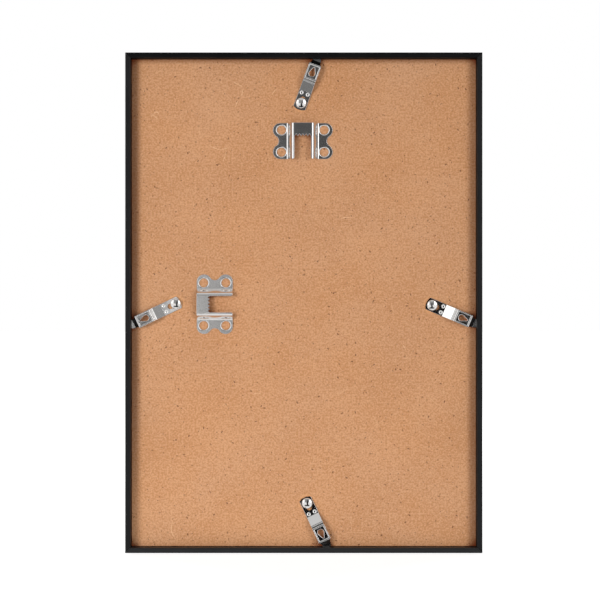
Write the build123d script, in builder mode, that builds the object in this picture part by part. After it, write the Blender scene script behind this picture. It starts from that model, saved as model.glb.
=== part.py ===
from build123d import *

import os
from math import acos, cos, radians, sin, sqrt
from typing import NamedTuple

# Slim A4 picture frame whose loose back is held in by four turn clips.
# It stands upright on its bottom rail: the picture faces -Y, the back with its clips
# and hangers faces +Y, and +Z is up. The origin is the middle of the underside.
# Left and right are named as seen from behind, so left lies on +X.
# Lengths are in millimetres and angles in degrees.

# Sheets that the frame holds, their room inside the rails, and the board that fills the opening
SHEET_WIDTH = 210.0
SHEET_HEIGHT = 297.0
SHEET_SIDE_CLEARANCE = 0.75
SHEET_END_CLEARANCE = 1.0
GLASS_THICKNESS = 2.0
GLASS_ARRIS = 0.25
INSERT_THICKNESS = 0.3
BOARD_CLEARANCE = 0.12
BOARD_THICKNESS = 3.0
BOARD_EDGE_RADIUS = 0.15

# Rail profile
RAIL_WALL = 3.25
LIP_OVERLAP = 2.5
LIP_THICKNESS = 1.7
RECESS_DEPTH = 7.0
RAIL_EDGE_RADIUS = 0.45
MITRE_GAP = 0.08

# Corner keys and the chamber in the rail that takes them
CHAMBER_WALL = 1.0
CHAMBER_FRONT = 2.6
CHAMBER_HEIGHT = 4.4
KEY_CLEARANCE = 0.05
KEY_LEG = 26.0
KEY_NOTCH_COUNT = 4
KEY_NOTCH_DEPTH = 0.25
KEY_NOTCH_PITCH = 4.0

# Turn clip, measured along its axis from the tail end of its slot towards the nose
CLIP_SHEET = 0.55
CLIP_WIDTH = 7.8
CLIP_TAIL = 3.1
CLIP_TAIL_RADIUS = 7.2
CLIP_LIFT = 0.5
SLOT_TRAVEL = 3.7
SLOT_CLEARANCE = 0.2
PIP_PLACE = 7.3
PIP_SPREAD = 4.0
PIP_WIDTH = 2.5
PIP_DEPTH = 0.4
PIP_RADIUS = 1.9
RAMP_START = 8.9
RAMP_RISE = 3.2
CREASE_PLACE = 15.5
CREASE_WIDTH = 1.7
CREASE_DEPTH = 1.05
BOX_END = 25.85
NOSE_FOOT = 28.3
NOSE_END = 30.5
NOSE_ROOT_WIDTH = 6.2
NOSE_TIP_WIDTH = 4.4
NOSE_CORNER_RADIUS = 0.5
SHOULDER_REACH = 0.6
TIP_LIFT = 1.5
RIM_WIDTH = 0.45
TRAY_DEPTH = 0.4
TRAY_CORNER_RADIUS = 0.7
DROP_PLACE = 20.1
DROP_WIDTH = 3.6
DROP_POINT = 4.5
CLIP_EDGE_RADIUS = 0.2
TRAY_RIM_RADIUS = 0.3
DROP_POINT_RADIUS = 0.35
DROP_EDGE_RADIUS = 0.35
CLIP_BEND = 0.42

# Nose of a locked clip in the rail's groove
NOSE_ENGAGEMENT = 1.2
NOSE_CLEARANCE = 0.3

# Dome rivet that a clip turns and slides on
RIVET_SHANK = 3.0
RIVET_FIT = 0.05
RIVET_HEAD = 6.5
RIVET_RIM = 0.85
RIVET_DOME = 0.75
RIVET_SHOULDER_RADIUS = 0.75
RIVET_TAIL = 5.4
RIVET_TAIL_THICKNESS = 0.7
RIVET_PLAY = 0.1
RIVET_WELL_CLEARANCE = 0.3

# Sawtooth hanger
HANGER_SHEET = 0.8
HANGER_WIDTH = 36.6
HANGER_HEIGHT = 22.1
LOBE_RADIUS = 4.45
SCALLOP_DEPTH = 3.5
WING_WIDTH = 9.35
BRIDGE_SLOPE = 2.95
BRIDGE_LIFT = 3.65
FOLD_RADIUS = 1.3
BRIDGE_LEG = 0.95
BRIDGE_BAND = 6.9
TOOTH_COUNT = 5
TOOTH_DEPTH = 1.35
LEG_CORNER_RADIUS = 1.0
HANGER_EDGE_RADIUS = 0.2
COLLAR_FROM_SIDE = 5.2
COLLAR_FROM_END = 4.25
COLLAR_BORE = 5.1
COLLAR_WALL = 0.45
COLLAR_FLARE = 0.9
COLLAR_DEPTH = 2.0
COLLAR_CLEARANCE = 0.03

# Places of the hangers on the board, to the middle of each
PORTRAIT_HANGER_FROM_TOP = 53.6
PORTRAIT_HANGER_SHIFT = 0.6
LANDSCAPE_HANGER_FROM_LEFT = 54.4
LANDSCAPE_HANGER_DROP = 0.9


class ClipPlace(NamedTuple):
    """One clip as it stands locked: its lean from square to the rail, its rivet's
    shift from the middle of the rail and the rivet's place along the slot."""

    lean: float
    shift: float
    seat: float


# A positive lean turns the nose clockwise as seen from behind. A positive shift is
# to the right on the top and bottom rails, and up on the left and right rails.
CLIP_PLACES = {
    "top": ClipPlace(20.5, -1.65, 1.1),
    "left": ClipPlace(-25.7, -0.6, 0.0),
    "right": ClipPlace(23.3, -1.5, 0.7),
    "bottom": ClipPlace(-25.6, 2.0, 0.7),
}

# Sizes that follow from the ones above
OPENING_WIDTH = SHEET_WIDTH + 2 * SHEET_SIDE_CLEARANCE
OPENING_HEIGHT = SHEET_HEIGHT + 2 * SHEET_END_CLEARANCE
FRAME_WIDTH = OPENING_WIDTH + 2 * RAIL_WALL
FRAME_HEIGHT = OPENING_HEIGHT + 2 * RAIL_WALL
BOARD_WIDTH = OPENING_WIDTH - 2 * BOARD_CLEARANCE
BOARD_HEIGHT = OPENING_HEIGHT - 2 * BOARD_CLEARANCE
GLASS_FRONT = LIP_THICKNESS
INSERT_FRONT = GLASS_FRONT + GLASS_THICKNESS
BOARD_FRONT = INSERT_FRONT + INSERT_THICKNESS
BOARD_BACK = BOARD_FRONT + BOARD_THICKNESS
FRAME_DEPTH = BOARD_BACK + RECESS_DEPTH
FRONT_Y = -FRAME_DEPTH / 2
LIP_REACH = RAIL_WALL + SHEET_END_CLEARANCE + LIP_OVERLAP
SLOT_WIDTH = RIVET_SHANK + 2 * SLOT_CLEARANCE
NOSE_EXTENSION = max(place.seat * cos(radians(place.lean)) for place in CLIP_PLACES.values())
GROOVE_DEPTH = NOSE_ENGAGEMENT + NOSE_EXTENSION + NOSE_CLEARANCE
GROOVE_FRONT = BOARD_BACK + TIP_LIFT - NOSE_CLEARANCE
GROOVE_BACK = BOARD_BACK + TIP_LIFT + CLIP_SHEET + NOSE_CLEARANCE
FOOT_FOLD = HANGER_WIDTH / 2 - WING_WIDTH
BRIDGE_FOLD = FOOT_FOLD - BRIDGE_SLOPE
NOTCH_WIDTH = 2 * (BRIDGE_FOLD - BRIDGE_LEG)
COLLAR_SPACING_X = HANGER_WIDTH - 2 * COLLAR_FROM_SIDE
COLLAR_SPACING_Y = HANGER_HEIGHT - 2 * COLLAR_FROM_END

BEHIND = Vector(0, 1, 0)
UP = Vector(0, 0, 1)
LEFT = Vector(1, 0, 0)
INWARD = {"top": -UP, "bottom": UP, "left": -LEFT, "right": LEFT}
RAIL_LENGTH = {
    "top": FRAME_WIDTH,
    "bottom": FRAME_WIDTH,
    "left": FRAME_HEIGHT,
    "right": FRAME_HEIGHT,
}


def at_depth(depth: float) -> Vector:
    """Centre of the frame at a depth behind its front face."""
    return Vector(0, FRONT_Y + depth, FRAME_HEIGHT / 2)


def rail_plane(side: str) -> Plane:
    """Section plane of a rail: x goes inward from its outer face, y goes back from its front."""
    inward = INWARD[side]
    across = FRAME_WIDTH if side in ("left", "right") else FRAME_HEIGHT
    return Plane(at_depth(0) - inward * (across / 2), x_dir=inward, z_dir=inward.cross(BEHIND))


def clip_plane(side: str) -> Plane:
    """Seat of a clip on the board: x points along the clip to its nose, z points back.

    The rivet stands so far from the rail that the leading corner of the nose
    enters the groove by NOSE_ENGAGEMENT.
    """
    place = CLIP_PLACES[side]
    lean = abs(place.lean)
    reach = (NOSE_END - place.seat) * cos(radians(lean)) + NOSE_TIP_WIDTH / 2 * sin(radians(lean))
    across = OPENING_WIDTH if side in ("left", "right") else OPENING_HEIGHT
    outward = -INWARD[side]
    along = UP if side in ("left", "right") else -LEFT
    middle = at_depth(BOARD_BACK) + outward * (across / 2 + NOSE_ENGAGEMENT - reach)
    rivet = middle + along * place.shift
    return Plane(rivet, x_dir=outward.rotate(Axis(rivet, BEHIND), -place.lean), z_dir=BEHIND)


def side_view(seat: Plane) -> Plane:
    """Plane that looks at a seat from the side: x stays, y points back from the board."""
    return Plane(seat.origin, x_dir=seat.x_dir, z_dir=-seat.y_dir)


def hanger_planes() -> dict[str, Plane]:
    """Seats of the hangers on the board: y points to the bridge, z points back."""
    centre = at_depth(BOARD_BACK)
    portrait = centre + UP * (FRAME_HEIGHT / 2 - PORTRAIT_HANGER_FROM_TOP)
    portrait += LEFT * PORTRAIT_HANGER_SHIFT
    landscape = centre + LEFT * (FRAME_WIDTH / 2 - LANDSCAPE_HANGER_FROM_LEFT)
    landscape -= UP * LANDSCAPE_HANGER_DROP
    return {
        "portrait": Plane(portrait, x_dir=-LEFT, z_dir=BEHIND),
        "landscape": Plane(landscape, x_dir=UP, z_dir=BEHIND),
    }


def finish(part: Part, label: str) -> None:
    """Name a finished piece and write it."""
    part.label = label
    export_step(part, f"parts/{label}.step")


def make_rail(side: str) -> Part:
    """Mitred rail with a front lip, a chamber for the corner keys and a groove for the clip."""
    section = rail_plane(side)
    half = RAIL_LENGTH[side] / 2
    with BuildPart() as rail:
        with BuildSketch(section) as profile:
            with BuildLine():
                Polyline(
                    (0, 0),
                    (LIP_REACH, 0),
                    (LIP_REACH, LIP_THICKNESS),
                    (RAIL_WALL, LIP_THICKNESS),
                    (RAIL_WALL, GROOVE_FRONT),
                    (RAIL_WALL - GROOVE_DEPTH, GROOVE_FRONT),
                    (RAIL_WALL - GROOVE_DEPTH, GROOVE_BACK),
                    (RAIL_WALL, GROOVE_BACK),
                    (RAIL_WALL, FRAME_DEPTH),
                    (0, FRAME_DEPTH),
                    close=True,
                )
            make_face()
            front = profile.vertices().group_by(Axis.Y)[0]
            back = profile.vertices().group_by(Axis.Y)[-1]
            fillet(front + back, RAIL_EDGE_RADIUS)
            with Locations((RAIL_WALL / 2, CHAMBER_FRONT)):
                Rectangle(
                    RAIL_WALL - 2 * CHAMBER_WALL,
                    CHAMBER_HEIGHT,
                    align=(Align.CENTER, Align.MIN),
                    mode=Mode.SUBTRACT,
                )
        extrude(amount=half, both=True)
        for end in (-1, 1):
            square_out = (section.x_dir + section.z_dir * end).normalized()
            corner = section.origin + section.z_dir * (end * half) - square_out * (MITRE_GAP / 2)
            split(bisect_by=Plane(corner, z_dir=square_out), keep=Keep.BOTTOM)
    return rail.part


def make_corner_key(upright: str, level: str) -> Part:
    """Angle key lying in the chambers of the two rails that meet at a corner."""
    legs = (INWARD[upright], INWARD[level])
    corner = at_depth(CHAMBER_FRONT + KEY_CLEARANCE)
    corner -= INWARD[upright] * (FRAME_WIDTH / 2) + INWARD[level] * (FRAME_HEIGHT / 2)
    first = legs[0] if (BEHIND.cross(legs[0]) - legs[1]).length < 1 else legs[1]
    near = CHAMBER_WALL + KEY_CLEARANCE
    far = RAIL_WALL - CHAMBER_WALL - KEY_CLEARANCE
    with BuildPart() as key:
        with BuildSketch(Plane(corner, x_dir=first, z_dir=BEHIND)):
            with BuildLine():
                Polyline(
                    (near, near),
                    (KEY_LEG, near),
                    (KEY_LEG, far),
                    (far, far),
                    (far, KEY_LEG),
                    (near, KEY_LEG),
                    close=True,
                )
            make_face()
            for step in range(KEY_NOTCH_COUNT):
                place = KEY_LEG - (step + 0.5) * KEY_NOTCH_PITCH
                for spot in ((place, far), (far, place)):
                    with Locations(spot):
                        Circle(KEY_NOTCH_DEPTH, mode=Mode.SUBTRACT)
        extrude(amount=CHAMBER_HEIGHT - 2 * KEY_CLEARANCE)
    return key.part


def make_glass() -> Part:
    """Glazing with a small arris all round."""
    with BuildPart() as glass:
        with BuildSketch(Plane(at_depth(GLASS_FRONT), x_dir=-LEFT, z_dir=BEHIND)):
            Rectangle(SHEET_WIDTH, SHEET_HEIGHT)
        extrude(amount=GLASS_THICKNESS)
        chamfer(glass.edges(), GLASS_ARRIS)
    return glass.part


def make_insert() -> Part:
    """Plain sheet between the glass and the board."""
    with BuildPart() as insert:
        with BuildSketch(Plane(at_depth(INSERT_FRONT), x_dir=-LEFT, z_dir=BEHIND)):
            Rectangle(SHEET_WIDTH, SHEET_HEIGHT)
        extrude(amount=INSERT_THICKNESS)
    return insert.part


def make_board() -> Part:
    """Hardboard back with a well for each rivet and a ring groove for each hanger collar."""
    with BuildPart() as board:
        with BuildSketch(Plane(at_depth(BOARD_FRONT), x_dir=-LEFT, z_dir=BEHIND)):
            Rectangle(BOARD_WIDTH, BOARD_HEIGHT)
        extrude(amount=BOARD_THICKNESS)
        fillet(board.faces().sort_by(Axis.Y)[-1].edges(), BOARD_EDGE_RADIUS)
        for side in CLIP_PLACES:
            rivet = clip_plane(side)
            with BuildSketch(rivet):
                Circle(RIVET_SHANK / 2 + RIVET_FIT)
            extrude(amount=-BOARD_THICKNESS, mode=Mode.SUBTRACT)
            with BuildSketch(rivet.offset(-BOARD_THICKNESS)):
                Circle(RIVET_TAIL / 2 + RIVET_WELL_CLEARANCE)
            extrude(amount=RIVET_TAIL_THICKNESS + 2 * RIVET_PLAY, mode=Mode.SUBTRACT)
        for seat in hanger_planes().values():
            with BuildSketch(seat):
                with GridLocations(COLLAR_SPACING_X, COLLAR_SPACING_Y, 2, 2):
                    Circle(COLLAR_BORE / 2 + COLLAR_WALL + COLLAR_CLEARANCE)
                    Circle(COLLAR_BORE / 2 - COLLAR_CLEARANCE, mode=Mode.SUBTRACT)
            extrude(amount=-COLLAR_DEPTH - COLLAR_CLEARANCE, mode=Mode.SUBTRACT)
    return board.part


def make_rivet(side: str) -> Part:
    """Dome rivet: tail set in the well in front, shank, and a head that keeps the clip down."""
    section = side_view(clip_plane(side))
    shank = RIVET_SHANK / 2
    head = RIVET_HEAD / 2
    tail = RIVET_TAIL / 2
    seat = CLIP_LIFT + CLIP_SHEET + RIVET_PLAY
    front = -BOARD_THICKNESS + RIVET_PLAY
    with BuildPart() as rivet:
        with BuildSketch(section) as profile:
            with BuildLine():
                Polyline(
                    (0, seat + RIVET_RIM + RIVET_DOME),
                    (0, front),
                    (tail, front),
                    (tail, front + RIVET_TAIL_THICKNESS),
                    (shank, front + RIVET_TAIL_THICKNESS),
                    (shank, seat),
                    (head, seat),
                    (head, seat + RIVET_RIM),
                )
                ball = (head**2 + RIVET_DOME**2) / (2 * RIVET_DOME)
                RadiusArc((head, seat + RIVET_RIM), (0, seat + RIVET_RIM + RIVET_DOME), -ball)
            make_face()
            rim = profile.vertices().group_by(Axis.X)[-1].sort_by(Axis.Y)[-1]
            fillet(rim, RIVET_SHOULDER_RADIUS)
        revolve(axis=Axis(section.origin, BEHIND))
    return rivet.part


def make_clip(side: str) -> Part:
    """Pressed spring clip: slotted tail, ramp, crease, sunk tray with a drop-shaped hole, nose."""
    place = CLIP_PLACES[side]
    rivet = clip_plane(side)
    seat = Plane(rivet.origin - rivet.x_dir * place.seat, x_dir=rivet.x_dir, z_dir=BEHIND)
    level = CLIP_LIFT + RAMP_RISE
    crest = level + CLIP_SHEET
    middle = CLIP_SHEET / 2
    shoulder = BOX_END + SHOULDER_REACH
    flare = CLIP_TAIL_RADIUS - NOSE_ROOT_WIDTH / 2
    box_start = CREASE_PLACE + CREASE_WIDTH / 2
    tray_start = box_start + RIM_WIDTH
    tray_length = BOX_END - RIM_WIDTH - tray_start
    tray_middle = tray_start + tray_length / 2
    tray_width = CLIP_WIDTH - 2 * RIM_WIDTH
    with BuildPart() as clip:
        # Strip with rounded edges, carried along the middle of the sheet as seen from the side
        with BuildLine(side_view(seat)):
            FilletPolyline(
                (-CLIP_TAIL, CLIP_LIFT + middle),
                (RAMP_START, CLIP_LIFT + middle),
                (CREASE_PLACE - CREASE_WIDTH / 2, level + middle),
                (CREASE_PLACE, level - CREASE_DEPTH + middle),
                (box_start, level + middle),
                (BOX_END, level + middle),
                (NOSE_FOOT, TIP_LIFT + middle),
                (NOSE_END, TIP_LIFT + middle),
                radius=CLIP_BEND,
            )
        tail_end = seat.from_local_coords((-CLIP_TAIL, 0, CLIP_LIFT + middle))
        with BuildSketch(Plane(tail_end, x_dir=seat.y_dir, z_dir=seat.x_dir)):
            RectangleRounded(CLIP_WIDTH, CLIP_SHEET, CLIP_EDGE_RADIUS)
        sweep()
        # Plan outline that rounds the tail and tapers the nose
        with BuildSketch(seat) as plan:
            with BuildLine():
                Polyline(
                    (CLIP_TAIL_RADIUS - CLIP_TAIL, -CLIP_TAIL_RADIUS),
                    (shoulder - flare, -CLIP_TAIL_RADIUS),
                    (shoulder, -NOSE_ROOT_WIDTH / 2),
                    (NOSE_END, -NOSE_TIP_WIDTH / 2),
                    (NOSE_END, NOSE_TIP_WIDTH / 2),
                    (shoulder, NOSE_ROOT_WIDTH / 2),
                    (shoulder - flare, CLIP_TAIL_RADIUS),
                    (CLIP_TAIL_RADIUS - CLIP_TAIL, CLIP_TAIL_RADIUS),
                    close=True,
                )
            make_face()
            fillet(plan.vertices().group_by(Axis.X)[-1], NOSE_CORNER_RADIUS)
            with Locations((CLIP_TAIL_RADIUS - CLIP_TAIL, 0)):
                Circle(CLIP_TAIL_RADIUS)
        extrude(amount=crest, mode=Mode.INTERSECT)
        # Tray pressed down inside a rim, its walls at 45 degrees and of the same sheet
        grow = 2 * CLIP_SHEET * (sqrt(2) - 1)
        with BuildSketch(-seat.offset(level)):
            with Locations((tray_middle, 0)):
                RectangleRounded(tray_length + grow, tray_width + grow, TRAY_CORNER_RADIUS + grow / 2)
        extrude(amount=TRAY_DEPTH, taper=45)
        with BuildSketch(-seat.offset(crest)):
            with Locations((tray_middle, 0)):
                RectangleRounded(tray_length, tray_width, TRAY_CORNER_RADIUS)
        extrude(amount=TRAY_DEPTH, taper=45, mode=Mode.SUBTRACT)
        rim = clip.faces(Select.LAST).edges().group_by(Axis(seat.origin, BEHIND))[-1]
        fillet(rim, TRAY_RIM_RADIUS)
        # Pips pressed down beside the slot, each a flat-bottomed cap of the same sheet
        rise = sqrt(PIP_RADIUS**2 - PIP_WIDTH**2 / 4)
        centre = (PIP_PLACE, CLIP_LIFT + CLIP_SHEET + rise)
        floor = (PIP_PLACE, CLIP_LIFT + CLIP_SHEET - PIP_DEPTH)
        base = (PIP_PLACE, CLIP_LIFT - PIP_DEPTH)
        for lateral in (-PIP_SPREAD / 2, PIP_SPREAD / 2):
            pip = side_view(seat).offset(lateral)
            axis = Axis(pip.from_local_coords(centre), BEHIND)
            with BuildSketch(pip):
                with Locations(centre):
                    Circle(PIP_RADIUS + CLIP_SHEET)
                with Locations(base):
                    Rectangle(PIP_WIDTH, PIP_DEPTH + middle, align=Align.MIN, mode=Mode.INTERSECT)
            revolve(axis=axis)
            with BuildSketch(pip):
                with Locations(centre):
                    Circle(PIP_RADIUS)
                with Locations(floor):
                    Rectangle(PIP_RADIUS, 2 * PIP_RADIUS, align=Align.MIN, mode=Mode.INTERSECT)
            revolve(axis=axis, mode=Mode.SUBTRACT)
        # Slot for the rivet
        with BuildSketch(seat):
            with Locations((SLOT_TRAVEL / 2, 0)):
                SlotCenterToCenter(SLOT_TRAVEL, SLOT_WIDTH)
        extrude(amount=crest, mode=Mode.SUBTRACT)
        # Drop-shaped hole through the floor of the tray, its point towards the nose
        with BuildSketch(seat) as drop:
            with Locations((DROP_PLACE, 0)):
                Circle(DROP_WIDTH / 2)
                flank = acos(DROP_WIDTH / 2 / DROP_POINT)
                touch = (DROP_WIDTH / 2 * cos(flank), DROP_WIDTH / 2 * sin(flank))
                Polygon((DROP_POINT, 0), touch, (0, 0), (touch[0], -touch[1]), align=None)
            fillet(drop.vertices().sort_by(Axis.X)[-1], DROP_POINT_RADIUS)
        extrude(amount=crest, mode=Mode.SUBTRACT)
        lip = clip.faces(Select.LAST).edges().filter_by(Axis.Y, reverse=True)
        fillet(lip.group_by(Axis(seat.origin, BEHIND))[-1], DROP_EDGE_RADIUS)
    return clip.part


def make_hanger(name: str) -> Part:
    """Sawtooth hanger: two lobed wings with drawn collars, and a raised bridge with teeth."""
    seat = hanger_planes()[name]
    lobe_x = HANGER_WIDTH / 2 - LOBE_RADIUS
    lobe_y = HANGER_HEIGHT / 2 - LOBE_RADIUS
    # The scallop between two lobes is the arc that touches both and is SCALLOP_DEPTH deep
    waist = HANGER_WIDTH / 2 - SCALLOP_DEPTH
    scallop_x = (lobe_x**2 + lobe_y**2 - (waist - LOBE_RADIUS) ** 2) / (2 * SCALLOP_DEPTH)
    scallop = scallop_x - waist
    touch_x = lobe_x + LOBE_RADIUS * (scallop_x - lobe_x) / (LOBE_RADIUS + scallop)
    gullet = HANGER_HEIGHT / 2 - BRIDGE_BAND
    pitch = NOTCH_WIDTH / TOOTH_COUNT
    teeth = [(-NOTCH_WIDTH / 2, gullet - TOOTH_DEPTH)]
    for tooth in range(TOOTH_COUNT):
        start = -NOTCH_WIDTH / 2 + tooth * pitch
        teeth.append((start + pitch / 2, gullet))
        teeth.append((start + pitch, gullet - TOOTH_DEPTH))
    foot_radius = FOLD_RADIUS + HANGER_SHEET
    with BuildPart() as hanger:
        # Folded sheet: its underside, thickened away from the board
        with BuildSketch(side_view(seat)):
            with BuildLine():
                FilletPolyline(
                    (-HANGER_WIDTH / 2, 0),
                    (-FOOT_FOLD, 0),
                    (-BRIDGE_FOLD, BRIDGE_LIFT),
                    (BRIDGE_FOLD, BRIDGE_LIFT),
                    (FOOT_FOLD, 0),
                    (HANGER_WIDTH / 2, 0),
                    radius=(foot_radius, FOLD_RADIUS, FOLD_RADIUS, foot_radius),
                )
                offset(amount=HANGER_SHEET, side=Side.LEFT)
            make_face()
        extrude(amount=HANGER_HEIGHT / 2, both=True)
        # Plan outline with its lobes, scallops and toothed notch
        with BuildSketch(seat) as plan:
            Rectangle(2 * lobe_x, HANGER_HEIGHT)
            Rectangle(2 * touch_x, 2 * lobe_y)
            with GridLocations(2 * lobe_x, 2 * lobe_y, 2, 2):
                Circle(LOBE_RADIUS)
            with Locations((-scallop_x, 0), (scallop_x, 0)):
                Circle(scallop, mode=Mode.SUBTRACT)
            with BuildLine():
                Polyline(
                    (-NOTCH_WIDTH / 2, -HANGER_HEIGHT / 2),
                    *teeth,
                    (NOTCH_WIDTH / 2, -HANGER_HEIGHT / 2),
                    close=True,
                )
            make_face(mode=Mode.SUBTRACT)
            low = plan.vertices().group_by(Axis.Y)[0]
            legs = low.filter_by_position(Axis.X, -BRIDGE_FOLD, BRIDGE_FOLD)
            fillet(legs, LEG_CORNER_RADIUS)
        extrude(amount=BRIDGE_LIFT + HANGER_SHEET, mode=Mode.INTERSECT)
        walls = hanger.faces().filter_by(lambda face: abs(face.normal_at().Y) < 1e-6)
        fillet(walls.edges().filter_by(Axis.Y, reverse=True), HANGER_EDGE_RADIUS)
        # Collars drawn down into the board, flared at the top
        with BuildSketch(seat):
            with GridLocations(COLLAR_SPACING_X, COLLAR_SPACING_Y, 2, 2):
                Circle(COLLAR_BORE / 2 + COLLAR_WALL)
        extrude(amount=-COLLAR_DEPTH)
        with BuildSketch(seat.offset(HANGER_SHEET)):
            with GridLocations(COLLAR_SPACING_X, COLLAR_SPACING_Y, 2, 2):
                Circle(COLLAR_BORE / 2)
        extrude(amount=-HANGER_SHEET - COLLAR_DEPTH, mode=Mode.SUBTRACT)
        rims = hanger.edges().filter_by(GeomType.CIRCLE)
        rims = rims.filter_by(lambda rim: abs(rim.radius - COLLAR_BORE / 2) < 1e-6)
        fillet(rims.group_by(Axis(seat.origin, BEHIND))[-1], COLLAR_FLARE)
    return hanger.part


os.makedirs("parts", exist_ok=True)

for side in INWARD:
    finish(make_rail(side), f"{side}_rail")
for upright in ("left", "right"):
    for level in ("top", "bottom"):
        finish(make_corner_key(upright, level), f"corner_key_{level}_{upright}")
finish(make_glass(), "glass_pane")
finish(make_insert(), "insert_sheet")
finish(make_board(), "backing_board")
for side in CLIP_PLACES:
    finish(make_rivet(side), f"clip_rivet_{side}")
    finish(make_clip(side), f"turn_clip_{side}")
for name in hanger_planes():
    finish(make_hanger(name), f"{name}_hanger")
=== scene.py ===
"""Looks of a slim A4 picture frame, seen from behind.

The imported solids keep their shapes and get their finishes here: satin black rails, glass,
paper, hardboard, and nickelled clips, rivets and hangers. The loose fibres on the hardboard
are added. Lengths are in metres. The back of the frame faces +Y, up is +Z, and left, as seen
from behind, is +X.
"""

import logging
import math
from dataclasses import dataclass, field, fields
from enum import Enum
from functools import partial, reduce
from typing import Any

import bpy
import numpy as np
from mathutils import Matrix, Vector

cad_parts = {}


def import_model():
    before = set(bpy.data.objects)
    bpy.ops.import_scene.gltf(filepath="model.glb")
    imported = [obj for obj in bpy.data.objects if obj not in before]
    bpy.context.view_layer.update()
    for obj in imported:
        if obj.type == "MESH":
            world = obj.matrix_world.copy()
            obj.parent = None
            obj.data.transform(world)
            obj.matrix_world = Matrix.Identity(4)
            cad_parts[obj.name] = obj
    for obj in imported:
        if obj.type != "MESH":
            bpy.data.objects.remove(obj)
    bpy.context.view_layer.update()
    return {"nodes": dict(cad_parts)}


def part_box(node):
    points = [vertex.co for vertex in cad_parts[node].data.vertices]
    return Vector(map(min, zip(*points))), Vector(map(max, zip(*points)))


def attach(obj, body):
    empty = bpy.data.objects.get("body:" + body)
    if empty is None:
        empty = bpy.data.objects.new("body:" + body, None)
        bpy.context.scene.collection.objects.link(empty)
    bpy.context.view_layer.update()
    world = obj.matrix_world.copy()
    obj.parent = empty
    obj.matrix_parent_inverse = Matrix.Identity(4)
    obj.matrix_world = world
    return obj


LOG = logging.getLogger("picture_frame")
MM = 0.001

Feed = bpy.types.NodeSocket | float | tuple[float, ...]
Place = tuple[float, float, float]
Colour = tuple[float, float, float, float]
Span = tuple[float, float]
Point = tuple[float, float]

WHITE: Colour = (1.0, 1.0, 1.0, 1.0)
ORIGIN: Place = (0.0, 0.0, 0.0)
WHOLE: Span = (0.0, 1.0)
MOST_NOISE: Span = (0.3, 0.7)
MID_NOISE: Span = (0.35, 0.65)


def shown(red: int, green: int, blue: int) -> Colour:
    """Give the linear colour that displays as an 8-bit one.

    Args:
        red: Red, 0 to 255.
        green: Green, 0 to 255.
        blue: Blue, 0 to 255.

    Returns:
        The colour by the sRGB curve, with full alpha.
    """
    coded = np.array([red, green, blue]) / 255
    value = np.where(coded <= 0.04045, coded / 12.92, ((coded + 0.055) / 1.055) ** 2.4)
    return (*value.tolist(), 1.0)


@dataclass(frozen=True)
class Noise:
    """Cloudy noise: clouds per metre, octaves of finer noise, and the strength of each."""

    scale: Feed
    detail: float = 2.0
    rough: float = 0.5


@dataclass(frozen=True)
class Strands:
    """Short curved lines, one to a cell of a scattered pattern on the XY plane.

    The cells' spacing is a length, and the lines' length and width are shares of it. Share is how
    many of the cells have a line, and bend how much the lines curve.
    """

    spacing: float
    length: float
    width: float
    share: float
    bend: float = 0.5


@dataclass(frozen=True)
class Smudges:
    """Soft patches left by handling: patches per metre, and how much they cover."""

    scale: float
    cover: float


@dataclass(frozen=True)
class Streaks:
    """Fine parallel streaks: changes per metre both ways, and their angle about Y from +X."""

    along: float
    across: float
    angle: float


@dataclass(frozen=True)
class EdgeRub:
    """The rubbed band along a frame's outer edges: the frame's sizes, and the band's reach."""

    half_width: float
    half_depth: float
    height: float
    reach: float


Effect = Strands | Smudges | Streaks | EdgeRub


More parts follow.
